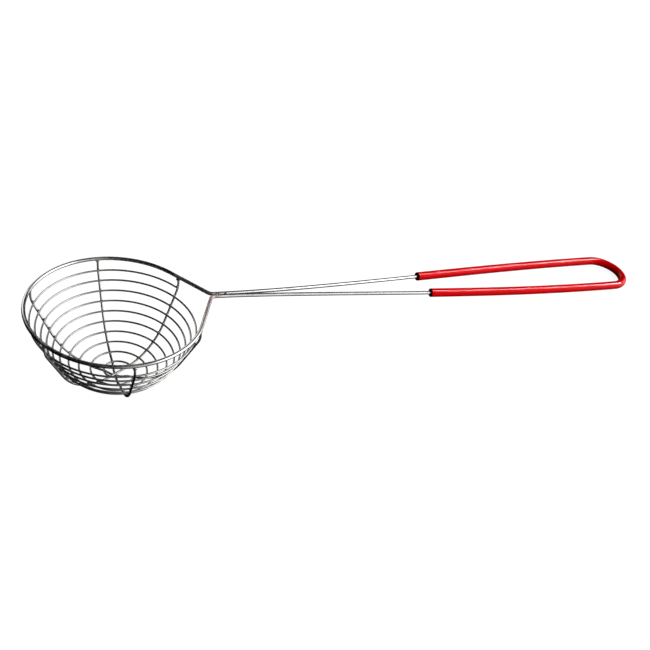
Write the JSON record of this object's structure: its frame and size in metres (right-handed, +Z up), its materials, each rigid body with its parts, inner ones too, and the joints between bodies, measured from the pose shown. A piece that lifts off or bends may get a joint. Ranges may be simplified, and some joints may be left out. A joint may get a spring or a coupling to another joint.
{
  "type": "fondue skimmer",
  "caption": "Round-bottomed basket of spiral wire on ribs, on a rim wire that runs out into a long looped handle with a plastic sleeve.",
  "frame": {"origin": "middle of the foot's flat underside, below the basket", "axes": "+X from the basket along the handle, +Z up with the skimmer lying on a table"},
  "size_m": [0.3813, 0.09, 0.0498],
  "materials": {
    "frame_wire": "bright plated steel wire",
    "spiral_wire": "bright plated steel wire",
    "rib_wire": "bright plated steel wire",
    "red_sleeve": "glossy soft plastic tube"
  },
  "bodies": {
    "root": {"frame_wire": "frame_wire", "basket_spiral": "spiral_wire", "rib_wire_1": "rib_wire", "rib_wire_2": "rib_wire", "rib_wire_3": "rib_wire", "grip_sleeve": "red_sleeve"}
  },
  "joints": []
}
